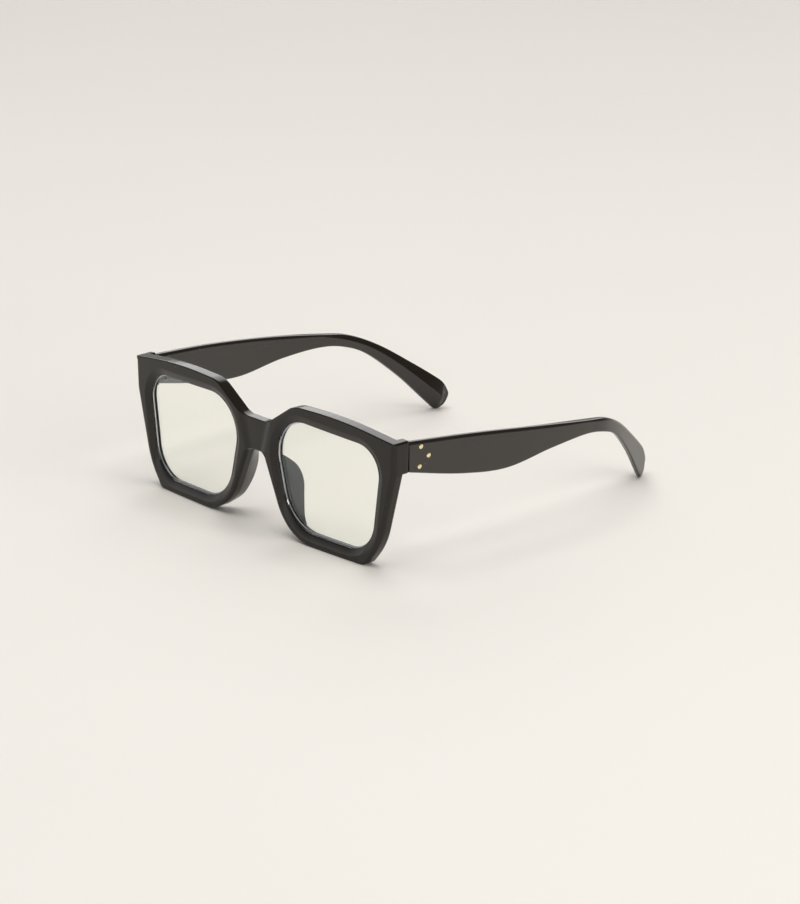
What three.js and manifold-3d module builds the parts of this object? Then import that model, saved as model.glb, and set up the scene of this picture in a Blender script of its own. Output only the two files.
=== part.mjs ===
// Square-framed spectacles on flat folding temples, drawn in millimetres.
// x runs from the plane of symmetry towards the wearer's left, y from the front face back to the
// temple tips, z up from the table. The finished group puts the origin at the middle of the
// footprint.
import * as THREE from 'three';
import { mergeVertices } from 'three/addons/utils/BufferGeometryUtils.js';
import Module from 'manifold-3d';

const wasm = await Module();
wasm.setup();

// Driving dimensions.
const OVERALL_DEPTH = 149.6;
const HALF_WIDTH = 72.5;
const FACE_CURVE_RADIUS = 894;
const FRONT_THICKNESS = 4.8;
const GAP = 0.3;

// Front outline, half of it, anticlockwise from under the bridge: x, z and corner radius.
const BRIDGE_UNDERSIDE = 29.6;
const BRIDGE_TOP = 41.8;
const FRONT_CORNERS = [
  [4.2, BRIDGE_UNDERSIDE, 2.5],
  [16.9, 0, 21],
  [57.0, 0, 8.6],
  [64.7, 8.6, 30],
  [72.1, 36.8, 3],
  [HALF_WIDTH, 48.9, 1],
  [46, 53.1, 180],
  [21.3, 51.7, 13],
  [6.6, BRIDGE_TOP, 9],
];
const BRIDGE_SETBACK = 1.2;
const BRIDGE_RECESS_CORNERS = [
  [5.4, BRIDGE_UNDERSIDE - 4, 0.5],
  [9.4, BRIDGE_TOP + 4, 0.5],
];

// Lens opening of the wearer's left eye.
const OPENING_CORNERS = [
  [17.5, 4.7, 17],
  [59.9, 4.4, 13],
  [65.3, 44.7, 10.5],
  [7.4, 46.6, 14.5],
];
const DISH_WIDTH = 2.9;
const DISH_DEPTH = 1.1;
const LENS_THICKNESS = 1.6;
const LENS_FRONT = 2.25;
const LENS_LAP = 0.6;
const GROOVE_LAP = LENS_LAP + GAP;

// End pieces, which carry the front's half of each hinge.
const END_BACK = 10.1;
const END_INNER = 69.1;
const END_BOTTOM = 36.8;
const END_TOP_INNER = 49.5;
const END_TOP_OUTER = 48.9;

// Hinge.
const HINGE_X = 67.3;
const HINGE_Y = 10.2;
const HINGE_BOTTOM = 38;
const HINGE_TOP = 47.2;
const KNUCKLE_COUNT = 5;
const KNUCKLE_RADIUS = 1.25;
const KNUCKLE_BORE = 0.75;
const KNUCKLE_GAP = 0.25;
const SCREW_RADIUS = 0.55;
const SCREW_HEAD_RADIUS = 1.15;
const SCREW_HEAD_HEIGHT = 0.7;
const SCREW_SLOT = 0.35;
const LEAF_THICKNESS = 0.8;
const FRONT_LEAF_INNER = 64.3;
const TEMPLE_LEAF_LENGTH = 11.4;
const TEMPLE_LEAF_TOP = 46.6;

// Temple of the wearer's left side: side profile and plan, each as hand-placed points.
const TEMPLE_FRONT = 10.45;
const TOP_EDGE = [
  [TEMPLE_FRONT, 48.3], [40, 45.6], [72, 41.5], [98, 37.5], [110, 35.2], [122, 29.6], [135, 20.6],
  [146.4, 11.9], [148.8, 9.2], [149.6, 6.2],
];
const BOTTOM_EDGE = [
  [TEMPLE_FRONT, 36.9], [34, 31.6], [55, 29.1], [77, 31.6], [96, 32.4], [108, 30.4], [118, 25.9],
  [130, 15.3], [141.6, 2.4], [144.2, 0.1], [147.4, 1.6],
];
const OUTER_PLAN = [
  [TEMPLE_FRONT, 72.3], [40, 74.9], [72, 76.4], [98, 75.2], [116, 71.3], [149.6, 55.8],
];
// Thickness at the top edge, the inner ridge and the bottom edge, against y.
const THICKNESS = {
  y: [TEMPLE_FRONT, 60, 95, 115, 149.6],
  top: [3.3, 3.1, 3.7, 3, 2.4],
  ridge: [3.3, 3.1, 3.8, 4.6, 5.1],
  bottom: [3.3, 3.1, 3.5, 2.3, 2.1],
  ridgeDrop: [0.2, 0.2, 0.22, 0.45, 0.55],
};
const TEMPLE_SECTIONS = 44;

// Core wire, which runs between the upper and middle rivets.
const WIRE_RADIUS = 0.5;
const WIRE_BORE_RADIUS = 0.75;
const WIRE_ROUTE = [
  [TEMPLE_FRONT, 43.75], [20, 43.7], [40, 39], [60, 36.3], [85, 36], [104, 33.8],
];
const WIRE_END_GAP = 0.6;

// Rivets through temple and hinge leaf: y and z of each.
const RIVETS = { upper: [15.6, 45.7], middle: [19, 41.8], lower: [15, 38.4] };
const RIVET_HEAD_RADIUS = 0.95;
const RIVET_HEAD_DEPTH = 1.1;
const RIVET_SHANK_RADIUS = 0.55;
const RIVET_PROUD = 0.15;
const RIVET_GAP = 0.15;

// Nose pad of the wearer's left side: x, y and z of points along its rear ridge.
const PAD_RIDGE = [
  [20.6, 6.6, 2.8], [16.3, 9.3, 7.2], [13.9, 11.1, 13], [12.4, 12.2, 19], [10.4, 10.9, 24.4],
  [6.6, 7.2, 28.6],
];
const PAD_ROOT = [
  [21.8, 2.9], [16.7, 6.6], [12.4, 13], [9.5, 19], [7.2, 24.4], [5.6, 28.4],
];
const PAD_THICKNESS = 2.4;
const PAD_SECTIONS = 14;

const ARC_STEP = THREE.MathUtils.degToRad(12);
const LONGEST_SIDE = 9;

// Finishes.
const BLACK = new THREE.MeshStandardMaterial({ color: 0x14110f, roughness: 0.16, metalness: 0 });
const LENS = new THREE.MeshStandardMaterial({
  color: 0xe6e8d8, roughness: 0.03, metalness: 0, transparent: true, opacity: 0.3,
});
const STEEL = new THREE.MeshStandardMaterial({ color: 0x9b9a96, roughness: 0.32, metalness: 1 });
const GOLD = new THREE.MeshStandardMaterial({ color: 0xd9b65c, roughness: 0.25, metalness: 1 });

// Solids and geometries.

function solid(geometry) {
  const bare = geometry.clone();
  bare.deleteAttribute('normal');
  bare.deleteAttribute('uv');
  const merged = mergeVertices(bare, 1e-4);
  return new wasm.Manifold(new wasm.Mesh({
    numProp: 3,
    vertProperties: new Float32Array(merged.attributes.position.array),
    triVerts: new Uint32Array(merged.index.array),
  }));
}

function geometryOf(body) {
  const mesh = body.getMesh();
  const geometry = new THREE.BufferGeometry();
  geometry.setAttribute('position', new THREE.BufferAttribute(mesh.vertProperties, 3));
  geometry.setIndex(new THREE.BufferAttribute(mesh.triVerts, 1));
  geometry.computeVertexNormals();
  return geometry;
}

function moveVertices(geometry, place) {
  const position = geometry.attributes.position;
  const point = new THREE.Vector3();
  for (let i = 0; i < position.count; i++) {
    place(point.fromBufferAttribute(position, i));
    position.setXYZ(i, point.x, point.y, point.z);
  }
  return geometry;
}

function mirrored(geometry) {
  const copy = geometry.index ? geometry.toNonIndexed() : geometry.clone();
  copy.scale(-1, 1, 1);
  const position = copy.attributes.position;
  const first = new THREE.Vector3();
  const last = new THREE.Vector3();
  for (let i = 0; i < position.count; i += 3) {
    first.fromBufferAttribute(position, i);
    last.fromBufferAttribute(position, i + 2);
    position.setXYZ(i, last.x, last.y, last.z);
    position.setXYZ(i + 2, first.x, first.y, first.z);
  }
  copy.deleteAttribute('uv');
  copy.computeVertexNormals();
  return copy;
}

// Outlines in the x-z plane.

function mirroredCorners(corners) {
  return corners.map(([x, z, radius]) => [-x, z, radius]).reverse();
}

// Straight sides joined by tangent arcs; grow moves the whole outline outwards.
function roundedLoop(corners, grow = 0) {
  const arcs = corners.map(([x, z, radius], i) => {
    const corner = new THREE.Vector2(x, z);
    const before = new THREE.Vector2(...corners.at(i - 1)).sub(corner).normalize();
    const after = new THREE.Vector2(...corners[(i + 1) % corners.length]).sub(corner).normalize();
    const convex = before.cross(after) < 0;
    const half = Math.acos(before.dot(after)) / 2;
    const middle = before.clone().add(after).normalize();
    const centre = corner.clone().addScaledVector(middle, radius / Math.sin(half));
    const reach = radius / Math.tan(half);
    const start = corner.clone().addScaledVector(before, reach).sub(centre).angle();
    let turn = corner.clone().addScaledVector(after, reach).sub(centre).angle() - start;
    turn -= Math.round(turn / (2 * Math.PI)) * 2 * Math.PI;
    return { centre, radius: radius + (convex ? grow : -grow), start, turn };
  });
  const points = [];
  for (const { centre, radius, start, turn } of arcs) {
    const steps = Math.max(2, Math.ceil(Math.abs(turn) / ARC_STEP));
    for (let k = 0; k <= steps; k++) {
      const angle = start + (turn * k) / steps;
      const rim = new THREE.Vector2(Math.cos(angle), Math.sin(angle));
      points.push(rim.multiplyScalar(radius).add(centre));
    }
  }
  return splitLongSides(points);
}

function splitLongSides(points) {
  return points.flatMap((point, i) => {
    const next = points[(i + 1) % points.length];
    const pieces = Math.ceil(point.distanceTo(next) / LONGEST_SIDE);
    return Array.from({ length: pieces }, (_, k) => point.clone().lerp(next, k / pieces));
  });
}

function slab(points, yFront, yBack) {
  const geometry = new THREE.ExtrudeGeometry(new THREE.Shape(points), {
    depth: yBack - yFront,
    bevelEnabled: false,
  });
  return geometry.rotateX(Math.PI / 2).translate(0, yBack, 0);
}

// A cutter that is full size in front of the face and narrows to the outline at the given depth.
function dishCutter(points, width, depth) {
  const geometry = new THREE.ExtrudeGeometry(new THREE.Shape(points), {
    depth: 1,
    bevelEnabled: true,
    bevelSegments: 1,
    bevelSize: width,
    bevelThickness: depth,
  });
  return geometry.rotateX(Math.PI / 2);
}

function box(xRange, yRange, zRange) {
  const ranges = [xRange, yRange, zRange];
  const [width, depth, height] = ranges.map(([low, high]) => high - low);
  const [x, y, z] = ranges.map(([low, high]) => (low + high) / 2);
  return new THREE.BoxGeometry(width, depth, height).translate(x, y, z);
}

function faceCurve(x) {
  return (x * x) / (2 * FACE_CURVE_RADIUS);
}

function curvedBack(geometry) {
  return moveVertices(geometry, (point) => {
    point.y += faceCurve(point.x);
  });
}

// Front.

function frontGeometry() {
  const outline = roundedLoop([...FRONT_CORNERS, ...mirroredCorners(FRONT_CORNERS)]);
  let body = solid(slab(outline, 0, FRONT_THICKNESS));
  for (const corners of [OPENING_CORNERS, mirroredCorners(OPENING_CORNERS)]) {
    const opening = roundedLoop(corners);
    body = body.subtract(solid(slab(opening, -1, FRONT_THICKNESS + 1)));
    body = body.subtract(solid(dishCutter(opening, DISH_WIDTH, DISH_DEPTH)));
    const groove = roundedLoop(corners, GROOVE_LAP);
    const grooveBack = LENS_FRONT + LENS_THICKNESS + GAP;
    body = body.subtract(solid(slab(groove, LENS_FRONT - GAP, grooveBack)));
  }
  const recess = roundedLoop([
    ...BRIDGE_RECESS_CORNERS,
    ...mirroredCorners(BRIDGE_RECESS_CORNERS),
  ]);
  body = body.subtract(solid(dishCutter(recess, BRIDGE_SETBACK, BRIDGE_SETBACK)));
  body = solid(curvedBack(geometryOf(body)));
  const block = solid(endPieceGeometry());
  return geometryOf(body.add(block).add(solid(mirrored(endPieceGeometry()))));
}

function endPieceGeometry() {
  const side = roundedLoop([
    [END_INNER, END_BOTTOM, 0.4],
    [HALF_WIDTH - 0.4, END_BOTTOM, 0.6],
    [HALF_WIDTH, END_TOP_OUTER, 1],
    [END_INNER, END_TOP_INNER, 0.4],
  ]);
  const buried = FRONT_THICKNESS - 1 + faceCurve(END_INNER);
  return slab(side, buried, END_BACK);
}

function lensGeometry() {
  const edge = roundedLoop(OPENING_CORNERS, LENS_LAP);
  return curvedBack(slab(edge, LENS_FRONT, LENS_FRONT + LENS_THICKNESS));
}

// Nose pads: a blade that stands back from the rim and flares away from the nose.

function padGeometry() {
  const ridge = new THREE.CatmullRomCurve3(PAD_RIDGE.map((point) => new THREE.Vector3(...point)));
  const rootPoints = PAD_ROOT.map(([x, z]) => {
    return new THREE.Vector3(x, FRONT_THICKNESS + GAP + faceCurve(x), z);
  });
  const root = new THREE.CatmullRomCurve3(rootPoints);
  const blank = new THREE.BoxGeometry(1, 1, 1, 1, 3, PAD_SECTIONS);
  return moveVertices(blank, (point) => {
    const along = point.z + 0.5;
    const back = point.y + 0.5;
    const ends = Math.sqrt(Math.sin(Math.PI * THREE.MathUtils.clamp(along, 0.04, 0.96)));
    const thickness = PAD_THICKNESS * ends * (1 - 0.35 * back * back);
    const place = root.getPoint(along).lerp(ridge.getPoint(along), back);
    place.x += (point.x + 0.5) * thickness;
    point.copy(place);
  });
}

// Temples.

function curveOf(points) {
  return new THREE.SplineCurve(points.map((point) => new THREE.Vector2(...point)));
}

// Value of a plan curve at y, by bisection along the curve.
function valueAt(curve, y) {
  let low = 0;
  let high = 1;
  for (let i = 0; i < 40; i++) {
    const middle = (low + high) / 2;
    if (curve.getPoint(middle).x < y) low = middle;
    else high = middle;
  }
  return curve.getPoint(high).y;
}

function thicknessAt(name, y) {
  const stations = THICKNESS.y;
  const last = stations.findIndex((station) => station >= y);
  const k = Math.max(1, last < 0 ? stations.length - 1 : last);
  const share = THREE.MathUtils.smoothstep(y, stations[k - 1], stations[k]);
  return THREE.MathUtils.lerp(THICKNESS[name][k - 1], THICKNESS[name][k], share);
}

const topEdge = curveOf(TOP_EDGE);
const bottomEdge = curveOf(BOTTOM_EDGE);
const outerPlan = curveOf(OUTER_PLAN);

function outerX(y) {
  return valueAt(outerPlan, y);
}

function templeBlank() {
  const blank = new THREE.BoxGeometry(1, 1, 1, 1, TEMPLE_SECTIONS, 2);
  return moveVertices(blank, (point) => {
    const along = point.y + 0.5;
    const top = topEdge.getPointAt(along);
    const bottom = bottomEdge.getPointAt(along);
    const level = point.z > 0.25 ? 'top' : point.z < -0.25 ? 'bottom' : 'ridge';
    const middleY = (top.x + bottom.x) / 2;
    const down = { top: 0, ridge: thicknessAt('ridgeDrop', middleY), bottom: 1 }[level];
    const place = top.clone().lerp(bottom, down);
    const inner = point.x < 0;
    point.set(
      outerX(place.x) - (inner ? thicknessAt(level, place.x) : 0),
      place.x,
      place.y,
    );
  });
}

// A rod along the core wire's route; lead and tail move its two ends along the temple.
function coreRod(radius, lead, tail) {
  const route = WIRE_ROUTE.map(([y, z]) => {
    return new THREE.Vector3(outerX(y) - thicknessAt('ridge', y) / 2, y, z);
  });
  route[0].y += lead;
  route.at(-1).y += tail;
  const circle = new THREE.Shape().absarc(0, 0, radius, 0, 2 * Math.PI, false);
  return new THREE.ExtrudeGeometry(circle, {
    steps: 26,
    curveSegments: 8,
    extrudePath: new THREE.CatmullRomCurve3(route),
  });
}

function rivetProfile(gap) {
  const length = 5.6 + gap;
  const crown = gap ? 1 : RIVET_PROUD;
  const head = RIVET_HEAD_RADIUS + gap;
  const shank = RIVET_SHANK_RADIUS + gap;
  const points = [
    [0, -length], [shank, -length], [shank, -RIVET_HEAD_DEPTH - gap],
    [head, -RIVET_HEAD_DEPTH - gap], [head, gap ? crown : 0], [head * 0.6, crown], [0, crown],
  ];
  return points.map((point) => new THREE.Vector2(...point));
}

// The rivet lies along x, with its crown standing just proud of the temple's outer face.
function rivetGeometry([y, z], gap = 0) {
  const lathe = new THREE.LatheGeometry(rivetProfile(gap), 16);
  return lathe.rotateZ(-Math.PI / 2).translate(outerX(y), y, z);
}

function templeGeometry() {
  let body = solid(templeBlank());
  body = body.subtract(solid(coreRod(WIRE_BORE_RADIUS, -1, WIRE_END_GAP)));
  for (const place of Object.values(RIVETS)) {
    body = body.subtract(solid(rivetGeometry(place, RIVET_GAP)));
  }
  return geometryOf(body);
}

// Hinges.

function knuckleRanges(ownsOdd) {
  const total = HINGE_TOP - HINGE_BOTTOM - KNUCKLE_GAP * (KNUCKLE_COUNT - 1);
  const height = total / KNUCKLE_COUNT;
  const ranges = [];
  for (let k = ownsOdd ? 1 : 0; k < KNUCKLE_COUNT; k += 2) {
    const low = HINGE_BOTTOM + k * (height + KNUCKLE_GAP);
    ranges.push([low, low + height]);
  }
  return ranges;
}

function upright(radius, [low, high]) {
  const cylinder = new THREE.CylinderGeometry(radius, radius, high - low, 20);
  return cylinder.rotateX(Math.PI / 2).translate(HINGE_X, HINGE_Y, (low + high) / 2);
}

function leafWithKnuckles(plate, webOf, ranges) {
  let body = solid(plate);
  for (const range of ranges) {
    body = body.add(solid(upright(KNUCKLE_RADIUS, range))).add(solid(webOf(range)));
  }
  const bore = solid(upright(KNUCKLE_BORE, [HINGE_BOTTOM - 1, HINGE_TOP + 1]));
  return body.subtract(bore);
}

function frontLeafGeometry() {
  const back = FRONT_THICKNESS + faceCurve(END_INNER) + GAP + LEAF_THICKNESS;
  const plate = box(
    [FRONT_LEAF_INNER, END_INNER - GAP], [back - LEAF_THICKNESS, back], [HINGE_BOTTOM, HINGE_TOP],
  );
  const webOf = (range) => box(
    [HINGE_X - KNUCKLE_RADIUS, HINGE_X + KNUCKLE_RADIUS - 0.1],
    [back - 0.2, HINGE_Y - KNUCKLE_BORE - 0.1],
    range,
  );
  return geometryOf(leafWithKnuckles(plate, webOf, knuckleRanges(false)));
}

function templeLeafGeometry() {
  const start = TEMPLE_FRONT + 1.6;
  const end = TEMPLE_FRONT + TEMPLE_LEAF_LENGTH;
  const innerFace = (y) => outerX(y) - thicknessAt('ridge', y) - GAP;
  const lean = (geometry) => moveVertices(geometry, (point) => {
    point.x += innerFace(point.y);
  });
  const profile = [
    [start, HINGE_BOTTOM - 0.9], [start + 4, HINGE_BOTTOM - 0.9], [end, 40.6], [end, 43],
    [start + 4.2, TEMPLE_LEAF_TOP], [start, TEMPLE_LEAF_TOP],
  ].map((point) => new THREE.Vector2(...point));
  const plate = new THREE.ExtrudeGeometry(new THREE.Shape(profile), {
    depth: LEAF_THICKNESS,
    bevelEnabled: false,
  });
  plate.rotateX(Math.PI / 2).rotateZ(Math.PI / 2);
  const webOf = (range) => lean(box([-LEAF_THICKNESS, 0], [HINGE_Y, start + 0.2], range));
  lean(plate.translate(-LEAF_THICKNESS, 0, 0));
  let body = leafWithKnuckles(plate, webOf, knuckleRanges(true));
  for (const place of Object.values(RIVETS)) {
    body = body.subtract(solid(rivetGeometry(place, RIVET_GAP)));
  }
  return geometryOf(body);
}

function screwGeometry() {
  const head = HINGE_TOP + 0.1;
  const crown = head + SCREW_HEAD_HEIGHT;
  const profile = [
    [0, HINGE_BOTTOM], [SCREW_RADIUS, HINGE_BOTTOM + 0.2], [SCREW_RADIUS, head],
    [SCREW_HEAD_RADIUS, head], [SCREW_HEAD_RADIUS, crown - 0.2], [SCREW_HEAD_RADIUS - 0.3, crown],
    [0, crown],
  ].map((point) => new THREE.Vector2(...point));
  const lathe = new THREE.LatheGeometry(profile, 20).rotateX(Math.PI / 2);
  const slot = box(
    [-SCREW_HEAD_RADIUS - 1, SCREW_HEAD_RADIUS + 1],
    [-SCREW_SLOT / 2, SCREW_SLOT / 2],
    [crown - 0.4, crown + 1],
  );
  const cut = solid(lathe).subtract(solid(slot));
  return geometryOf(cut).translate(HINGE_X, HINGE_Y, 0);
}

// The assembly.

const glasses = new THREE.Group();
const drawing = new THREE.Group();
drawing.position.y = -OVERALL_DEPTH / 2;
glasses.add(drawing);

function addPiece(name, geometry, material) {
  const mesh = new THREE.Mesh(geometry, material);
  mesh.name = name;
  drawing.add(mesh);
}

const PAIRED_PIECES = [
  ['lens', lensGeometry(), LENS],
  ['nose_pad', padGeometry(), BLACK],
  ['hinge_front_leaf', frontLeafGeometry(), STEEL],
  ['hinge_temple_leaf', templeLeafGeometry(), STEEL],
  ['hinge_screw', screwGeometry(), STEEL],
  ['temple', templeGeometry(), BLACK],
  ['temple_core_wire', coreRod(WIRE_RADIUS, 0.3, 0), STEEL],
];
for (const [place, spot] of Object.entries(RIVETS)) {
  PAIRED_PIECES.push([`temple_rivet_${place}`, rivetGeometry(spot), GOLD]);
}

addPiece('frame_front', frontGeometry(), BLACK);
for (const [name, geometry, material] of PAIRED_PIECES) {
  addPiece(`${name}_left`, geometry, material);
  addPiece(`${name}_right`, mirrored(geometry), material);
}

export default glasses;
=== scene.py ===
"""Looks of the square-framed spectacles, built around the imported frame.

Shapes are drawn in millimetres: x towards the wearer's left from the plane of symmetry, y back
from the front face, z up from the table. row_frame() turns them into the row's metres.
"""
import math

import bmesh
import bpy
import numpy as np
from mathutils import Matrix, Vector


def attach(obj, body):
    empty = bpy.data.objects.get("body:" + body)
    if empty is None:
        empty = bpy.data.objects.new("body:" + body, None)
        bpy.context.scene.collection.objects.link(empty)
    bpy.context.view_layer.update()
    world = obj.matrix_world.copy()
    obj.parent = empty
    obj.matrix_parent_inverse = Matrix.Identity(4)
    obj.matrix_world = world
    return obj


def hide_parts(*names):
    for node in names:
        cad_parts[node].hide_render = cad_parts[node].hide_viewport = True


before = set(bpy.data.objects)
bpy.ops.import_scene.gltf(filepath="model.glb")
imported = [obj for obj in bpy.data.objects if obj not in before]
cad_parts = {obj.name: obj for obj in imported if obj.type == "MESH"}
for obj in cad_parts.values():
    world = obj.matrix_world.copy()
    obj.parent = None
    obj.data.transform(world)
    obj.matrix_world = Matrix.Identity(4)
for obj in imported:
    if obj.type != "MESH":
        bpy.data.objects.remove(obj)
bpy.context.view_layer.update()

MM = 0.001
FRONT_FACE_Y = 74.8

# Front.
FACE_CURVE_RADIUS = 894.0
FRONT_THICKNESS = 4.8
BRIDGE_UNDERSIDE = 29.6
BRIDGE_TOP = 41.8
FRONT_CORNERS = [
    (4.2, BRIDGE_UNDERSIDE, 2.5), (16.9, 0, 21), (57.7, 0, 4.5), (64.9, 8.9, 30),
    (72.1, 36.8, 3), (72.5, 48.9, 1), (46, 52.42, 180), (21.3, 51.7, 13), (6.6, BRIDGE_TOP, 9),
]
OPENING_CORNERS = [(17.5, 4.7, 17), (59.9, 4.4, 13), (65.3, 44.7, 10.5), (7.4, 46.6, 14.5)]
BRIDGE_SETBACK = 0.65
BRIDGE_SETBACK_RUN = 3.4
BRIDGE_SETBACK_LINE = ((5.7, BRIDGE_UNDERSIDE), (9.6, 42.4))
DISH_WIDTH = 2.9
DISH_DEPTH = 1.1
FRONT_EDGE_RADIUS = 0.45
FRONT_EDGE_TEMPORAL = 1.5
FRONT_EDGE_NASAL = 1.3
REAR_EDGE_RADIUS = 0.7
OPENING_EDGE_RADIUS = 0.18
LENS_FRONT = 2.25
LENS_THICKNESS = 1.6
LENS_LAP = 0.6
LENS_BEVEL = 0.18
# How far inside the opening the pale band of the painted edge highlight reaches.
LENS_HIGHLIGHT_LINE = 0.42
LENS_EDGE_HIDDEN = 0.1
LENS_RINGS = 12
GROOVE_DEPTH = 0.9
GROOVE_PLAY = 0.3

# Spacing of the front mesh's columns, along the lens opening and along the outline.
RIM_COLUMNS = 340
RIM_HALVINGS = 5
RIM_BISECTIONS = 40
RIM_LONGEST_STEP = 0.75
RIM_SHARPEST_TURN = math.radians(7)
RIM_MEETING_GAP = 0.12
RIM_SMALLEST_GAP = 0.02

# End pieces.
END_CORNERS = [(69.1, 36.8, 0.5), (72.1, 36.8, 0.6), (72.5, 48.9, 1), (69.1, 49.3, 0.5)]
END_START = 5.05
END_BACK = 10.1
END_EDGE_RADIUS = 0.35
END_PROUD = 0.015

# Temples.
TEMPLE_FRONT = 10.45
TOP_EDGE = [
    (TEMPLE_FRONT, 48.3), (40, 45.6), (72, 41.5), (98, 37.5), (110, 35.2), (122, 29.6),
    (135, 20.6), (143.5, 14.2), (149.7, 9.2),
]
BOTTOM_EDGE = [
    (TEMPLE_FRONT, 36.9), (34, 31.6), (55, 29.1), (77, 31.6), (96, 32.4), (108, 30.4),
    (118, 25.9), (130, 15.3), (139.3, 4.9), (145.7, -2.3),
]
TIP_OUTLINE = [
    (143.5, 14.2), (146.3, 11.8), (148.1, 9.1), (149.0, 6.6), (148.6, 4.2), (147.2, 1.9),
    (145.3, 0.4), (143.6, 0.3), (142.0, 1.9), (139.3, 4.9),
]
TIP_LENGTH = 8.0
TIP_RIDGE_FADE = 3.4
TIP_EDGE_RADIUS = 0.9
TIP_RIDGE_START = 0.3
# A rounding this deep would narrow a section of the tip to nothing.
TIP_FULL_NARROWING = 1.3
TIP_SECTIONS = 26
TIP_REACH = 0.997
TEMPLE_SECTIONS = 150
TEMPLE_FRONT_EDGE = 0.3
TEMPLE_EDGE_RADIUS = 1.5
RIDGE_EDGE_RADIUS = 0.6
BOTTOM_EDGE_RADIUS = 0.7
LEAST_RIDGE = 0.04
OUTER_PLAN = [
    (TEMPLE_FRONT, 72.3), (40, 74.9), (72, 76.4), (98, 75.2), (116, 71.3), (149.6, 55.8),
]
THICKNESS_Y = [TEMPLE_FRONT, 60, 95, 115, 149.6]
THICKNESS = {
    "top": [3.3, 3.1, 3.7, 3, 2.4],
    "ridge": [3.3, 3.1, 3.8, 4.6, 5.1],
    "bottom": [3.3, 3.1, 3.5, 2.3, 2.1],
    "drop": [0.2, 0.2, 0.22, 0.45, 0.55],
}

# Rivets: y and z of each, then radius and distance out of the temple's face along the pin.
RIVETS = {"upper": (15.6, 45.7), "middle": (19, 41.8), "lower": (15, 38.4)}
RIVET_RADIUS = 0.95
RIVET_LEAST_RADIUS = 0.02
RIVET_HEAD_DEPTH = 1.1
RIVET_SHANK_RADIUS = 0.55
RIVET_LENGTH = 5.6
RIVET_SIDES = 40
RIVET_HEAD = [
    (0.0, 0.17), (0.25, 0.165), (0.45, 0.15), (0.6, 0.125), (0.68, 0.085), (0.72, 0.085),
    (0.78, 0.12), (0.86, 0.09), (0.92, 0.03), (RIVET_RADIUS, -0.06),
    (RIVET_RADIUS, -RIVET_HEAD_DEPTH),
]
RIVET_TAIL = [
    (RIVET_SHANK_RADIUS, -RIVET_HEAD_DEPTH), (RIVET_SHANK_RADIUS, 0.1 - RIVET_LENGTH),
    (RIVET_SHANK_RADIUS - 0.1, -RIVET_LENGTH), (0.0, -RIVET_LENGTH),
]

# Nose pads: points of the rear ridge, and of the rim's edge beside it.
PAD_RIDGE = [
    (24.6, 4.9, 1.6), (22.2, 6.6, 2.3), (18.9, 8.1, 4.5), (16.3, 9.3, 7.4), (13.9, 11.1, 13),
    (12.4, 12.2, 19), (10.4, 10.9, 24.4), (6.6, 7.2, 28.6), (5.2, 5.0, 30.6),
]
PAD_ROOT = [
    (24.2, 1.9), (22.0, 2.4), (18.6, 4.2), (15.6, 7.0), (12.0, 13), (9.1, 19), (6.85, 24.4),
    (5.0, 28.6), (4.4, 31.0),
]
PAD_ROOT_Y = 3.9
PAD_ROOT_INSET = 0.12
PAD_KNEE = np.array([0.2, 0.45, 0.0])
PAD_THICKNESS = 2.6
PAD_LEAST_THICKNESS = 0.25
PAD_INWARDS = np.array([1.0, 0.0, 0.15])
PAD_EDGE_FULLNESS = 0.9
PAD_END_SHARE = 0.015
PAD_END_BLUNTNESS = 0.45
PAD_SECTIONS = 60


# Small tools.

def row_frame(points):
    """Drawing millimetres to the row's metres."""
    points = np.asarray(points, float)
    return (points - np.array([0.0, FRONT_FACE_Y, 0.0])) * MM


def face_curve(x):
    return x * x / (2 * FACE_CURVE_RADIUS)


def smooth(t):
    t = np.clip(t, 0, 1)
    return t * t * (3 - 2 * t)


def unit(vector):
    return vector / np.linalg.norm(vector)


def cross2(a, b):
    return a[..., 0] * b[..., 1] - a[..., 1] * b[..., 0]


def spline(points, count):
    """Points along a uniform Catmull-Rom curve, evenly spaced along its length."""
    p = np.asarray(points, float)
    p = np.vstack([2 * p[0] - p[1], p, 2 * p[-1] - p[-2]])
    fine = []
    t = np.linspace(0, 1, 60, endpoint=False)[:, None]
    for a, b, c, d in zip(p[:-3], p[1:-2], p[2:-1], p[3:]):
        fine.append(0.5 * (2 * b + (c - a) * t + (2 * a - 5 * b + 4 * c - d) * t ** 2
                           + (3 * b - a - 3 * c + d) * t ** 3))
    fine = np.vstack([*fine, p[-2:-1]])
    steps = np.linalg.norm(np.diff(fine, axis=0), axis=1)
    length = np.concatenate([[0], np.cumsum(steps)])
    at = np.linspace(0, length[-1], count) if np.isscalar(count) else np.asarray(count) * length[-1]
    return np.stack([np.interp(at, length, fine[:, k]) for k in range(p.shape[1])], axis=1)


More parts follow.
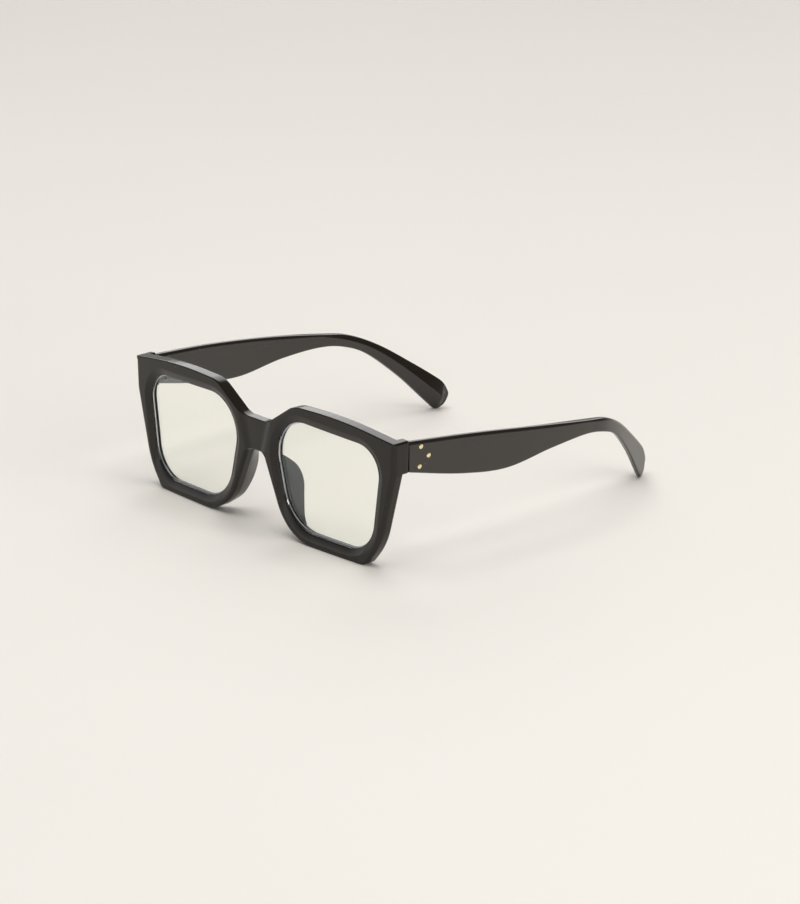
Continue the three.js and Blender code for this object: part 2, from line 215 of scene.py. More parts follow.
def rounded_loop(corners, grow=0.0, arc_degrees=1.5, arc_points=None, side_points=1):
    """Straight sides joined by tangent arcs, as points; grow moves the outline outwards."""
    corners = [(np.array(c[:2], float), float(c[2])) for c in corners]
    arcs = []
    for i, (corner, radius) in enumerate(corners):
        before = unit(corners[i - 1][0] - corner)
        after = unit(corners[(i + 1) % len(corners)][0] - corner)
        half = math.acos(np.clip(before @ after, -1, 1)) / 2
        centre = corner + unit(before + after) * radius / math.sin(half)
        reach = radius / math.tan(half)
        first = corner + before * reach - centre
        last = corner + after * reach - centre
        start = math.atan2(first[1], first[0])
        turn = math.atan2(last[1], last[0]) - start
        turn -= round(turn / math.tau) * math.tau
        convex = cross2(before, after) < 0
        steps = arc_points or max(2, math.ceil(abs(turn) / math.radians(arc_degrees)))
        angles = start + turn * np.linspace(0, 1, steps + 1)
        size = radius + (grow if convex else -grow)
        arcs.append(centre + size * np.stack([np.cos(angles), np.sin(angles)], axis=1))
    points = []
    for i, arc in enumerate(arcs):
        share = (np.arange(side_points) / side_points)[1:, None]
        following = arcs[(i + 1) % len(arcs)][0]
        points += [arc, arc[-1] + (following - arc[-1]) * share]
    return np.vstack(points)


def mirrored_corners(corners):
    return [(-x, z, radius) for x, z, radius in reversed(corners)]


def mesh_object(name, vertices, faces, sharp_degrees=40, weld=True):
    mesh = bpy.data.meshes.new(name)
    mesh.from_pydata(row_frame(vertices).tolist(), [], faces)
    obj = bpy.data.objects.new(name, mesh)
    bpy.context.scene.collection.objects.link(obj)
    work = bmesh.new()
    work.from_mesh(mesh)
    loose = [v for v in work.verts if not v.link_faces]
    bmesh.ops.delete(work, geom=loose, context="VERTS")
    if weld:
        bmesh.ops.remove_doubles(work, verts=work.verts, dist=1e-6)
    bmesh.ops.recalc_face_normals(work, faces=work.faces)
    work.to_mesh(mesh)
    work.free()
    mesh.shade_smooth()
    mesh.set_sharp_from_angle(angle=math.radians(sharp_degrees))
    return obj


def ring_faces(rings, around, offset=0, closed_ends=True):
    """Faces of a tube of closed rings, with its two ends filled."""
    faces = []
    for i in range(rings - 1):
        for j in range(around):
            a = offset + i * around + j
            b = offset + i * around + (j + 1) % around
            faces.append((a, b, b + around, a + around))
    if closed_ends:
        faces.append(tuple(offset + j for j in reversed(range(around))))
        faces.append(tuple(offset + (rings - 1) * around + j for j in range(around)))
    return faces


def with_mirror(vertices, faces):
    """The same shape again on the other side of the plane of symmetry."""
    vertices = np.asarray(vertices, float)
    other = vertices * np.array([-1.0, 1.0, 1.0])
    flipped = [tuple(len(vertices) + i for i in reversed(face)) for face in faces]
    return np.vstack([vertices, other]), list(faces) + flipped


# Front: columns run from the lens opening to the outline, and each is a section of the rim.

def half_outline():
    """The wearer's left half of the front's outline, from under the bridge to its top."""
    loop = rounded_loop(FRONT_CORNERS + mirrored_corners(FRONT_CORNERS))
    loop = loop[loop[:, 0] > 1e-6]
    start = int(np.argmin(np.hypot(loop[:, 0], loop[:, 1] - BRIDGE_UNDERSIDE)))
    loop = np.roll(loop, -start, axis=0)
    ends = np.array([[0, BRIDGE_UNDERSIDE], [0, BRIDGE_TOP]], float)
    return np.vstack([ends[:1], loop, ends[1:]])


class Opening:
    """A point and outward normal at any distance along the lens opening."""

    def __init__(self):
        loop = rounded_loop(OPENING_CORNERS, side_points=24)
        closed = np.vstack([loop, loop[:1]])
        steps = np.linalg.norm(np.diff(closed, axis=0), axis=1)
        keep = steps > 1e-6
        self.points = np.vstack([closed[:-1][keep], closed[:1]])
        steps = np.linalg.norm(np.diff(self.points, axis=0), axis=1)
        self.at = np.concatenate([[0], np.cumsum(steps)])
        self.length = self.at[-1]

    def point(self, s):
        s = s % self.length
        return np.array([np.interp(s, self.at, self.points[:, k]) for k in (0, 1)])

    def normal(self, s):
        ahead = self.point(s + 0.2) - self.point(s - 0.2)
        return unit(np.array([ahead[1], -ahead[0]]))


def first_hit(origin, direction, line):
    a, e = line[:-1], np.diff(line, axis=0)
    det = cross2(direction[None], e)
    det = np.where(np.abs(det) < 1e-12, 1e-12, det)
    to = a - origin
    t = cross2(to, e) / det
    u = cross2(to, direction[None]) / det
    good = (t > 1e-6) & (u > -1e-9) & (u < 1 + 1e-9)
    k = int(np.argmin(np.where(good, t, 1e9)))
    return float(t[k]), k


def rim_columns(outline):
    """Origins, ends and kinds of the columns; kind is True on the outline, False at x = 0.

    Evenly spaced columns are halved where the outline is long or turns between them, and one is
    added to each of the two corners where the outline meets x = 0.
    """
    opening = Opening()
    closed = np.vstack([outline, outline[:1]])
    last = len(closed) - 2

    def column(s):
        origin, direction = opening.point(s), opening.normal(s)
        width, k = first_hit(origin, direction, closed)
        along = unit(closed[k + 1] - closed[k])
        return [s, origin, origin + direction * width, k != last, along]

    columns = [column(s) for s in np.linspace(0, opening.length, RIM_COLUMNS, endpoint=False)]
    for _ in range(RIM_HALVINGS):
        refined = []
        for i, first in enumerate(columns):
            second = columns[(i + 1) % len(columns)]
            refined.append(first)
            gap = (second[0] - first[0]) % opening.length
            far = np.linalg.norm(second[2] - first[2]) > RIM_LONGEST_STEP
            turning = first[4] @ second[4] < math.cos(RIM_SHARPEST_TURN)
            if first[3] != second[3]:
                far, turning = gap > RIM_MEETING_GAP, False
            if gap > RIM_SMALLEST_GAP and (far or turning):
                refined.append(column((first[0] + gap / 2) % opening.length))
        columns = refined
    corners = np.array([[0, BRIDGE_UNDERSIDE], [0, BRIDGE_TOP]], float)
    result = []
    for i, first in enumerate(columns):
        second = columns[(i + 1) % len(columns)]
        result.append(first)
        if first[3] != second[3]:
            low, high = first[0], first[0] + (second[0] - first[0]) % opening.length
            for _ in range(RIM_BISECTIONS):
                middle = (low + high) / 2
                if column(middle)[3] == first[3]:
                    low = middle
                else:
                    high = middle
            found = column(high)
            corner = corners[np.argmin(np.linalg.norm(corners - found[2], axis=1))]
            result.append([found[0], found[1], corner, True, found[4]])
    origins = np.array([c[1] for c in result])
    ends = np.array([c[2] for c in result])
    kinds = np.array([c[3] for c in result])
    return origins, ends, kinds


def outline_normal(point, outline):
    """Outward normal of the outline beside a point; none on the plane of symmetry."""
    if point[0] < 1e-6:
        return np.zeros(2)
    k = int(np.argmin(np.linalg.norm(outline - point, axis=1)))
    ahead = outline[min(k + 2, len(outline) - 1)] - outline[max(k - 2, 0)]
    return unit(np.array([ahead[1], -ahead[0]]))


def distance_to(points, line):
    """Distance of each point from a polyline."""
    best = np.full(points.shape[:-1], 1e9)
    for a, b in zip(line[:-1], line[1:]):
        e = b - a
        t = np.clip(((points - a) @ e) / (e @ e), 0, 1)
        best = np.minimum(best, np.linalg.norm(points - a - t[..., None] * e, axis=-1))
    return best


def fillet(distance, radius):
    """How far a rounded edge falls away at this distance from it."""
    inside = np.clip(radius - distance, 0, radius)
    return radius - np.sqrt(np.maximum(radius ** 2 - inside ** 2, 0))


def arc_steps(radius, count):
    return radius * (1 - np.cos(np.linspace(0, math.pi / 2, count + 1)))


def bridge_setback(points):
    low, high = (np.array(p, float) for p in BRIDGE_SETBACK_LINE)
    along = unit(high - low)
    towards_nose = np.array([-along[1], along[0]])
    reach = (points - low) @ towards_nose
    return BRIDGE_SETBACK * smooth(reach / BRIDGE_SETBACK_RUN)


def dish(distance):
    """The face slopes down to the lens."""
    t = np.clip(distance / DISH_WIDTH, 0, 1)
    return DISH_DEPTH * (1 - t) ** 1.2


def rim_rows(width, near, far, middle):
    """Distances from the opening along one column, packed towards both edges."""
    between = np.linspace(near[-1], width - far[-1], middle + 2)[1:-1]
    return np.concatenate([near, between, width - far[::-1]])


def front_mesh():
    outline = half_outline()
    origins, ends, kinds = rim_columns(outline)
    widths = np.linalg.norm(ends - origins, axis=1)
    directions = (ends - origins) / widths[:, None]
    dish_rows = np.concatenate([arc_steps(OPENING_EDGE_RADIUS, 5),
                                np.linspace(OPENING_EDGE_RADIUS, DISH_WIDTH + 0.4, 12)[1:]])
    outward = np.array([outline_normal(end, outline) for end in ends])
    edge_radius = FRONT_EDGE_RADIUS + FRONT_EDGE_TEMPORAL * np.maximum(outward[:, 0], 0) ** 2
    edge_radius += FRONT_EDGE_NASAL * np.maximum(-outward[:, 0], 0) ** 2
    rear_inner = arc_steps(OPENING_EDGE_RADIUS, 5)
    rear_outer = arc_steps(REAR_EDGE_RADIUS, 8)

    front_s = np.array([rim_rows(w, dish_rows, arc_steps(r, 9), 7)
                        for w, r in zip(widths, edge_radius)])
    rear_s = np.array([rim_rows(w, rear_inner, rear_outer, 9) for w in widths])
    front_p = origins[:, None] + directions[:, None] * front_s[..., None]
    rear_p = origins[:, None] + directions[:, None] * rear_s[..., None]
    front_edge = distance_to(front_p, outline)
    rear_edge = distance_to(rear_p, outline)
    front_edge[kinds, -1] = 0
    rear_edge[kinds, -1] = 0
    front_y = fillet(front_edge, edge_radius[:, None]) + dish(front_s) + bridge_setback(front_p)
    front_y += fillet(front_s, OPENING_EDGE_RADIUS)
    rear_y = FRONT_THICKNESS - fillet(rear_edge, REAR_EDGE_RADIUS)
    rear_y -= fillet(rear_s, OPENING_EDGE_RADIUS)

    wall = np.linspace(0, 1, 5)[1:-1]
    wall_y = front_y[:, -1:] + (rear_y[:, -1:] - front_y[:, -1:]) * wall
    wall_p = np.repeat(ends[:, None], len(wall), axis=1)
    groove_front = LENS_FRONT - GROOVE_PLAY
    groove_back = LENS_FRONT + LENS_THICKNESS + GROOVE_PLAY
    groove_s = np.array([0, GROOVE_DEPTH, GROOVE_DEPTH, 0])
    groove_y = np.array([groove_back, groove_back, groove_front, groove_front])
    groove_p = origins[:, None] + directions[:, None] * groove_s[None, :, None]
    groove_y = np.repeat(groove_y[None], len(origins), axis=0)

    plan = np.concatenate([front_p, wall_p, rear_p[:, ::-1], groove_p], axis=1)
    depth = np.concatenate([front_y, wall_y, rear_y[:, ::-1], groove_y], axis=1)
    x, z = plan[..., 0], plan[..., 1]
    vertices = np.stack([x, depth + face_curve(x), z], axis=-1)
    columns, around = depth.shape
    wall_first = front_p.shape[1] - 1
    wall_last = wall_first + len(wall)
    faces = []
    for c in range(columns):
        d = (c + 1) % columns
        for j in range(around):
            if wall_first <= j <= wall_last and not (kinds[c] and kinds[d]):
                continue
            k = (j + 1) % around
            faces.append((c * around + j, c * around + k, d * around + k, d * around + j))
    return vertices.reshape(-1, 3), faces


def end_piece_mesh():
    """A block behind the rim's upper outer corner, flush with the rim's sides."""
    arcs = {"arc_points": 8, "side_points": 6}
    layers = [(END_START, END_PROUD)]
    layers += [(y, END_PROUD) for y in np.linspace(END_START, END_BACK - END_EDGE_RADIUS, 5)[1:]]
    for angle in np.linspace(0, math.pi / 2, 6)[1:]:
        back = END_BACK - END_EDGE_RADIUS * (1 - math.sin(angle))
        layers.append((back, END_PROUD - END_EDGE_RADIUS * (1 - math.cos(angle))))
    rings = []
    for y, grow in layers:
        loop = rounded_loop(END_CORNERS, grow, **arcs)
        rings.append(np.stack([loop[:, 0], np.full(len(loop), y), loop[:, 1]], axis=1))
    vertices = np.vstack(rings)
    return vertices, ring_faces(len(rings), len(rings[0]))


def lens_loop(grow=0.0):
    return rounded_loop(OPENING_CORNERS, grow, arc_points=14, side_points=16)


def lens_mesh():
    """A thin plate bent with the front, its rim in the groove, edges bevelled."""
    back = LENS_THICKNESS
    shares = np.linspace(0, 1, LENS_RINGS + 1)
    centre = np.mean(np.array(OPENING_CORNERS)[:, :2], axis=0)
    rings = []

    def fan(depth, grow, shares):
        for share in shares:
            rings.append((depth, centre + (lens_loop(grow) - centre) * share))

    # The outermost ring of the front face, just inside the opening and on under the rim, is the
    # band for the painted edge highlight.
    fan(0.0, -LENS_HIGHLIGHT_LINE, shares[1:])
    rings.append((0.0, lens_loop(LENS_EDGE_HIDDEN)))
    rings.append((0.0, lens_loop(LENS_LAP - LENS_BEVEL)))
    rings.append((LENS_BEVEL, lens_loop(LENS_LAP)))
    rings.append((back - LENS_BEVEL, lens_loop(LENS_LAP)))
    fan(back, LENS_LAP - LENS_BEVEL, shares[:0:-1])
    parts = [np.stack([p[:, 0], LENS_FRONT + y + face_curve(p[:, 0]), p[:, 1]], axis=1)
             for y, p in rings]
    return np.vstack(parts), ring_faces(len(parts), len(parts[0]))


def on_side(sign, mesh):
    """A mesh of the wearer's left side, or with a sign of -1 its mirror image."""
    vertices, faces = mesh
    return vertices * np.array([sign, 1.0, 1.0]), faces


def second_material(obj, material, rows, around):
    """Rings of faces, numbered from the first, get another material.

    The two end faces follow the last ring, so they count as the start of one more.
    """
    obj.data.materials.append(material)
    for face in obj.data.polygons[rows.start * around:rows.stop * around]:
        face.material_index = 1


# Nose pads.

def pad_mesh():
    """Sections from the rim back to the ridge, each curving outwards to a rounded rear edge."""
    ridge, root = spline(PAD_RIDGE, PAD_SECTIONS), spline(PAD_ROOT, PAD_SECTIONS)
    along = np.clip(np.linspace(0, 1, PAD_SECTIONS), PAD_END_SHARE, 1 - PAD_END_SHARE)
    fade = np.sin(math.pi * along) ** PAD_END_BLUNTNESS
    t = np.linspace(0, 1, 14)[:, None]
    angles = np.linspace(0, math.pi, 11)[1:-1, None]
    rings = []
    for tip, (x, z), f in zip(ridge, root, fade):
        start = np.array([x + PAD_ROOT_INSET, PAD_ROOT_Y, z])
        knee = start + PAD_KNEE * np.array([tip[0] - x, tip[1] - PAD_ROOT_Y, 0])
        outer = start * (1 - t) ** 2 + 2 * knee * t * (1 - t) + tip * t ** 2
        thick = PAD_THICKNESS * f * (1 - 0.5 * t) + PAD_LEAST_THICKNESS
        inner = outer + thick * PAD_INWARDS
        middle = (outer[-1] + inner[-1]) / 2
        radius = (inner[-1] - outer[-1]) / 2
        backwards = unit(outer[-1] - outer[-3]) * np.linalg.norm(radius) * PAD_EDGE_FULLNESS
        cap = middle - radius * np.cos(angles) + backwards * np.sin(angles)
        rings.append(np.vstack([outer, cap, inner[::-1]]))
    return np.vstack(rings), ring_faces(len(rings), len(rings[0]))


# Temples.

def outer_face(y):
    """x of the temple's outer face."""
    plan = spline(OUTER_PLAN, 400)
    return np.interp(y, plan[:, 0], plan[:, 1])


def temple_value(name, y):
    k = np.clip(np.searchsorted(THICKNESS_Y, y) - 1, 0, len(THICKNESS_Y) - 2)
    y0, y1 = THICKNESS_Y[k], THICKNESS_Y[k + 1]
    a, b = THICKNESS[name][k], THICKNESS[name][k + 1]
    return a + (b - a) * float(smooth((y - y0) / (y1 - y0)))


def temple_section(top, bottom, inset=0.0, thin=1.0, peak=1.0):
    """A closed ring between two points of the side profile.

    inset shrinks it all round, thin narrows it, and peak is how far its inner ridge stands out.
    """
    height = np.linalg.norm(bottom - top)
    y = (top[0] + bottom[0]) / 2
    sizes = {name: temple_value(name, y) for name in THICKNESS}
    ridge = height * sizes["drop"]
    level = sizes["top"] + (sizes["bottom"] - sizes["top"]) * sizes["drop"]
    thick = level + max(sizes["ridge"] - level, 0) * peak + LEAST_RIDGE
    round_top = min(TEMPLE_EDGE_RADIUS, sizes["top"] * 0.48, ridge * 0.8)
    round_bottom = min(BOTTOM_EDGE_RADIUS, height * 0.2)
    round_ridge = min(RIDGE_EDGE_RADIUS, height * 0.15)
    corners = [
        (0, 0, round_top), (sizes["top"], 0, round_top), (thick, ridge, round_ridge),
        (sizes["bottom"], height, round_bottom), (0, height, round_bottom),
    ]
    loop = rounded_loop(corners, -inset, arc_points=6, side_points=7)
    middle = sizes["bottom"] / 2
    loop[:, 0] = middle + (loop[:, 0] - middle) * thin
    share = np.clip(loop[:, 1:] / height, 0, 1)
    side = top + (bottom - top) * share
    return np.stack([outer_face(side[:, 0]) - loop[:, 0], side[:, 0], side[:, 1]], axis=1)


def temple_tip_sections(top_line, bottom_line, across, back):
    """Sections parallel to the end, trimmed to the rounded tip."""
    outline = np.vstack([
        top_line[top_line[:, 0] < TIP_OUTLINE[0][0]], spline(TIP_OUTLINE, 90),
        bottom_line[bottom_line[:, 0] < TIP_OUTLINE[-1][0]][::-1], top_line[:1],
    ])
    furthest = outline[np.argmax(outline @ back)]
    first = (top_line[-1] + bottom_line[-1]) / 2 - back * TIP_LENGTH
    sections = []
    for angle in np.linspace(0, math.pi / 2, TIP_SECTIONS):
        origin = first + (furthest - first) * math.sin(angle) * TIP_REACH
        top = origin - across * first_hit(origin, -across, outline)[0]
        bottom = origin + across * first_hit(origin, across, outline)[0]
        left = (furthest - origin) @ back
        thin = 1 - fillet(left, TIP_EDGE_RADIUS) / TIP_FULL_NARROWING
        peak = float(smooth(left / TIP_RIDGE_FADE - TIP_RIDGE_START))
        sections.append(temple_section(top, bottom, thin=thin, peak=peak))
    return sections


def temple_mesh():
    shares = np.linspace(0, 1, TEMPLE_SECTIONS)
    top_line, bottom_line = spline(TOP_EDGE, shares), spline(BOTTOM_EDGE, shares)
    across = unit(bottom_line[-1] - top_line[-1])
    back = np.array([-across[1], across[0]])
    rings = []
    for angle in np.linspace(0, math.pi / 2, 5):
        shift = np.array([TEMPLE_FRONT_EDGE * (1 - math.cos(angle)), 0])
        inset = TEMPLE_FRONT_EDGE * (1 - math.sin(angle))
        rings.append(temple_section(top_line[0] + shift, bottom_line[0] + shift, inset))
    for top, bottom in zip(top_line[1:], bottom_line[1:]):
        if min((top_line[-1] - top) @ back, (top_line[-1] - bottom) @ back) > TIP_LENGTH:
            rings.append(temple_section(top, bottom))
    rings += temple_tip_sections(top_line, bottom_line, across, back)
    return np.vstack(rings), ring_faces(len(rings), len(rings[0]))


def rivet_mesh(y, z):
    """A pin with a low polished dome, a fine turned groove inside its edge, and a shank."""
    face = float(outer_face(y))
    angles = np.linspace(0, math.tau, RIVET_SIDES, endpoint=False)
    rings = []
    for radius, out in RIVET_HEAD + RIVET_TAIL:
        radius = max(radius, RIVET_LEAST_RADIUS)
        rings.append(np.stack([np.full(RIVET_SIDES, face + out), y + radius * np.cos(angles),
                               z + radius * np.sin(angles)], axis=1))
    return np.vstack(rings), ring_faces(len(rings), RIVET_SIDES)


# Materials.

class Nodes:
    """Short names for building a node tree."""

    def __init__(self, tree):
        self.tree = tree
        tree.nodes.clear()

    def add(self, kind, inputs=None, **settings):
        node = self.tree.nodes.new(kind)
        for key, value in settings.items():
            setattr(node, key, value)
        for key, value in (inputs or {}).items():
            self.set(node.inputs[key], value)
        return node

    def set(self, socket, value):
        if isinstance(value, bpy.types.Node):
            value = value.outputs[0]
        if isinstance(value, bpy.types.NodeSocket):
            self.tree.links.new(value, socket)
        else:
            socket.default_value = value

    def noise(self, where, scale, detail=3.0, roughness=0.5):
        return self.add("ShaderNodeTexNoise", {
            "Vector": where, "Scale": scale, "Detail": detail, "Roughness": roughness,
        }).outputs[0]

    def stretched(self, where, scale, turn=(0, 0, 0)):
        return self.add("ShaderNodeMapping", {"Vector": where, "Scale": scale, "Rotation": turn})

    def ramp(self, value, low, high, to_low=0.0, to_high=1.0):
        return self.add("ShaderNodeMapRange", {
            "Value": value, "From Min": low, "From Max": high, "To Min": to_low,
            "To Max": to_high,
        })

    def math(self, operation, a, b=0.0):
        node = self.add("ShaderNodeMath", operation=operation)
        self.set(node.inputs[0], a)
        self.set(node.inputs[1], b)
        return node

    def blend(self, share, a, b):
        node = self.add("ShaderNodeMix", data_type="RGBA")
        self.set(node.inputs[0], share)
        self.set(node.inputs[6], a)
        self.set(node.inputs[7], b)
        return node.outputs[2]


def new_material(name):
    material = bpy.data.materials.new(name)
    material.use_nodes = True
    return material, Nodes(material.node_tree)


def rgb(r, g, b):
    return (r, g, b, 1.0)


def dust(n, where, scale, rarity, size):
    """1 on sparse specks, 0 elsewhere."""
    cells = n.add("ShaderNodeTexVoronoi", {"Vector": where, "Scale": scale})
    pick = n.add("ShaderNodeSeparateColor", {"Color": cells.outputs["Color"]})
    chosen = n.math("GREATER_THAN", pick.outputs[0], rarity)
    near = n.ramp(cells.outputs["Distance"], size, size * 0.4)
    return n.math("MULTIPLY", chosen, near)


def scratches(n, where, turn, scale=(60, 2600, 2600)):
    """Fine hairlines that run one way."""
    lines = n.noise(n.stretched(where, scale, turn), 1.0, 2.0)
    return n.ramp(lines, 0.66, 0.74)


def plastic_material(name, dark, light, roughness, ior=1.41):
    """Polished moulded acetate: faint waviness, hairline scratches and a little dust."""
    material, n = new_material(name)
    where = n.add("ShaderNodeTexCoord").outputs["Object"]
    cloud = n.ramp(n.noise(where, 55.0, 4.0), 0.3, 0.7)
    specks = dust(n, where, 520.0, 0.9, 0.13)
    hair = n.math("MAXIMUM", scratches(n, where, (0.2, 0.4, 0.1)),
                  scratches(n, where, (1.1, 0.2, 0.9)))
    colour = n.blend(n.math("MULTIPLY", specks, 0.35), n.blend(cloud, dark, light),
                     rgb(0.35, 0.33, 0.3))
    patchy = n.ramp(n.noise(where, 180.0, 5.0, 0.6), 0.3, 0.75, roughness, roughness * 1.5)
    rough = n.math("ADD", patchy, n.math("MULTIPLY", hair, 0.05))
    rough = n.math("ADD", rough, n.math("MULTIPLY", specks, 0.35))
    wave = n.noise(where, 85.0, 1.5)
    grain = n.noise(where, 2400.0, 2.0)
    height = n.math("ADD", n.math("MULTIPLY", wave, 0.10), n.math("MULTIPLY", grain, 0.0018))
    height = n.math("SUBTRACT", height, n.math("MULTIPLY", hair, 0.0012))
    bump = n.add("ShaderNodeBump", {"Height": height, "Strength": 0.35, "Distance": 0.0006})
    shader = n.add("ShaderNodeBsdfPrincipled", {
        "Base Color": colour, "Roughness": rough, "IOR": ior, "Normal": bump,
    })
    n.add("ShaderNodeOutputMaterial", {"Surface": shader})
    return material


def lens_material():
    """Clear lens with the straw tint and bluish reflection of a blue-light coating."""
    material, n = new_material("coated_lens")
    where = n.add("ShaderNodeTexCoord").outputs["Object"]
    smear = n.ramp(n.noise(n.stretched(where, (30, 30, 70), (0.3, 0.5, 0.2)), 1.0, 3.0), 0.35, 0.8)
    specks = dust(n, where, 330.0, 0.95, 0.1)
    tint = n.blend(smear, rgb(0.975, 0.995, 0.945), rgb(0.985, 1.0, 0.955))
    rough = n.math("ADD", n.ramp(smear, 0, 1, 0.0, 0.012), n.math("MULTIPLY", specks, 0.3))
    shader = n.add("ShaderNodeBsdfPrincipled", {
        "Base Color": tint, "Roughness": rough, "IOR": 1.58, "Transmission Weight": 1.0,
        "Specular Tint": rgb(0.80, 0.90, 1.0),
    })
    clear = n.add("ShaderNodeBsdfTransparent", {"Color": rgb(0.96, 0.965, 0.94)})
    path = n.add("ShaderNodeLightPath")
    share = n.math("MAXIMUM", path.outputs["Is Shadow Ray"], path.outputs["Is Diffuse Ray"])
    mix = n.add("ShaderNodeMixShader", {0: share})
    n.set(mix.inputs[1], shader.outputs[0])
    n.set(mix.inputs[2], clear.outputs[0])
    n.add("ShaderNodeOutputMaterial", {"Surface": mix})
    return material


def lens_edge_highlight_material():
    """A painted highlight: a pale frosted band on the lens's front face that stands in for the
    light its edge catches, so it shows as a pale line.
    """
    material, n = new_material("painted_lens_edge_highlight")
    where = n.add("ShaderNodeTexCoord").outputs["Object"]
    band_grain = n.noise(n.stretched(where, (2500, 2500, 900)), 1.0, 3.0)
    colour = n.blend(band_grain, rgb(0.50, 0.55, 0.62), rgb(0.78, 0.83, 0.90))
    rough = n.ramp(band_grain, 0.2, 0.8, 0.35, 0.6)
    bump = n.add("ShaderNodeBump", {"Height": band_grain, "Strength": 0.2, "Distance": 0.00004})
    shader = n.add("ShaderNodeBsdfPrincipled", {
        "Base Color": colour, "Roughness": rough, "IOR": 1.55, "Normal": bump,
    })
    n.add("ShaderNodeOutputMaterial", {"Surface": shader})
    return material


def metal_material(name, dark, light, roughness, brushing):
    material, n = new_material(name)
    where = n.add("ShaderNodeTexCoord").outputs["Object"]
    streaks = n.noise(n.stretched(where, brushing), 1.0, 4.0, 0.6)
    stain = n.ramp(n.noise(where, 260.0, 4.0), 0.3, 0.75)
    colour = n.blend(n.math("MULTIPLY", stain, 0.8), light, dark)
    rough = n.ramp(streaks, 0.3, 0.7, roughness * 0.7, roughness * 1.5)
    bump = n.add("ShaderNodeBump", {"Height": streaks, "Strength": 0.12, "Distance": 0.00008})
    shader = n.add("ShaderNodeBsdfPrincipled", {
        "Base Color": colour, "Roughness": rough, "Metallic": 1.0, "Normal": bump,
    })
    n.add("ShaderNodeOutputMaterial", {"Surface": shader})
    return material


BLACK = plastic_material("black_acetate", rgb(0.0110, 0.0086, 0.0062),
                         rgb(0.0160, 0.0127, 0.0093), 0.1)
TEMPLE_BLACK = plastic_material("temple_acetate", rgb(0.0115, 0.0088, 0.0062),
                                rgb(0.0165, 0.0129, 0.0093), 0.1, 1.62)
PAD_BLACK = plastic_material("pad_acetate", rgb(0.011, 0.0096, 0.0078),
                             rgb(0.018, 0.0158, 0.0130), 0.14)
LENS = lens_material()
# Pale colour painted on the lens as the highlight of its edge.
EDGE_HIGHLIGHT = lens_edge_highlight_material()
STEEL = metal_material("hinge_steel", rgb(0.055, 0.056, 0.060), rgb(0.12, 0.122, 0.128), 0.4,
                       (4000, 4000, 150))
WIRE = metal_material("core_wire_steel", rgb(0.40, 0.38, 0.35), rgb(0.62, 0.60, 0.57), 0.35,
                      (5000, 120, 5000))
GOLD = metal_material("rivet_gold", rgb(0.80, 0.62, 0.30), rgb(0.98, 0.88, 0.56), 0.18,
                      (3000, 300, 3000))


# The pieces.

def show(obj, material, body, slot, *nodes):
    obj.data.materials.append(material)
    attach(obj, body)
    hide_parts(*nodes)
    return obj


front_vertices, front_faces = front_mesh()
front_vertices, front_faces = with_mirror(front_vertices, front_faces)
block_vertices, block_faces = with_mirror(*end_piece_mesh())
block_faces = [tuple(i + len(front_vertices) for i in face) for face in block_faces]
front = mesh_object("front_shell", np.vstack([front_vertices, block_vertices]),
                    front_faces + block_faces)
show(front, BLACK, "front", "frame_plastic", "frame_front")

SIDES = {"left": 1.0, "right": -1.0}
CAD_METALS = {
    "hinge_front_leaf": STEEL, "hinge_temple_leaf": STEEL, "hinge_screw": STEEL,
    "temple_core_wire": WIRE,
}
tail_rows = range(len(RIVET_HEAD), len(RIVET_HEAD) + len(RIVET_TAIL))
for side, sign in SIDES.items():
    lens = mesh_object(f"lens_clear_{side}", *on_side(sign, lens_mesh()), sharp_degrees=25)
    show(lens, LENS, "front", "lens", f"lens_{side}")
    # The band just inside the opening gets the pale painted highlight of the lens's edge.
    second_material(lens, EDGE_HIGHLIGHT, range(LENS_RINGS - 1, LENS_RINGS), len(lens_loop()))
    pad = mesh_object(f"nose_pad_blade_{side}", *on_side(sign, pad_mesh()), sharp_degrees=50)
    show(pad, PAD_BLACK, "front", "pad_plastic", f"nose_pad_{side}")
    temple = mesh_object(f"temple_arm_{side}", *on_side(sign, temple_mesh()), sharp_degrees=50)
    show(temple, TEMPLE_BLACK, f"temple_{side}", "frame_plastic", f"temple_{side}")
    for place, (y, z) in RIVETS.items():
        pin = mesh_object(f"rivet_pin_{place}_{side}", *on_side(sign, rivet_mesh(y, z)))
        show(pin, GOLD, f"temple_{side}", "rivet_gold", f"temple_rivet_{place}_{side}")
        second_material(pin, STEEL, tail_rows, RIVET_SIDES)
    for name, material in CAD_METALS.items():
        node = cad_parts[f"{name}_{side}"]
        node.data.materials.clear()
        node.data.materials.append(material)


# Floor.

FLOOR_REACH = 5.0
FLOOR_TILES = 8


def floor_material():
    material, n = new_material("pale_table")
    where = n.add("ShaderNodeTexCoord").outputs["Object"]
    cloud = n.ramp(n.noise(where, 3.0, 2.0), 0.3, 0.7)
    fine = n.noise(where, 900.0, 3.0)
    colour = n.blend(cloud, rgb(0.812, 0.782, 0.741), rgb(0.827, 0.798, 0.758))
    bump = n.add("ShaderNodeBump", {"Height": fine, "Strength": 0.05, "Distance": 0.0002})
    shader = n.add("ShaderNodeBsdfPrincipled", {
        "Base Color": colour, "Roughness": 0.85, "IOR": 1.3, "Normal": bump,
    })
    n.add("ShaderNodeOutputMaterial", {"Surface": shader})
    return material


def floor_object():
    mesh = bpy.data.meshes.new("table_top")
    steps = np.linspace(-FLOOR_REACH, FLOOR_REACH, FLOOR_TILES + 1)
    vertices = [(x, y, 0.0) for y in steps for x in steps]
    across = len(steps)
    starts = [j * across + i for j in range(FLOOR_TILES) for i in range(FLOOR_TILES)]
    faces = [(k, k + 1, k + across + 1, k + across) for k in starts]
    mesh.from_pydata(vertices, [], faces)
    mesh.materials.append(floor_material())
    obj = bpy.data.objects.new("table_top", mesh)
    bpy.context.scene.collection.objects.link(obj)
    return obj


floor_object()

